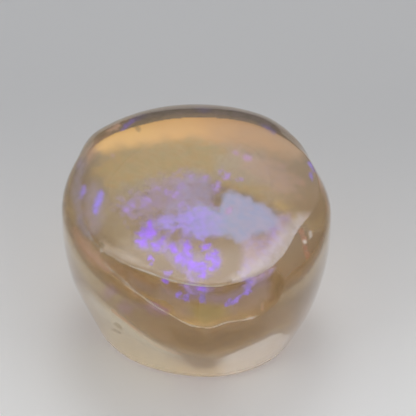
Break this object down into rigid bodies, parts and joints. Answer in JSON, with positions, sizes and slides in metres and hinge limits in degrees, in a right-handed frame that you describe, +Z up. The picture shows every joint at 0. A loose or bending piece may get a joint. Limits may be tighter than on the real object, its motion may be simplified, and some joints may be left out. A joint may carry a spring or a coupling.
{
  "type": "crystal opal",
  "caption": "Loose polished crystal opal, a thick freehand-cut stone with a gently domed table, a ground crown face across its front and a flat foot to stand on.",
  "frame": {"origin": "on the flat foot, under the middle of the stone's box", "axes": "+Z up out of the table, -Y towards the ground crown face at the front, +X to the right of it"},
  "size_m": [0.0109, 0.0119, 0.0069],
  "materials": {
    "opal": "glassy polish on see-through honey-brown opal, with violet and blue play of colour inside"
  },
  "bodies": {
    "root": {"crystal_opal": "opal"}
  },
  "joints": []
}
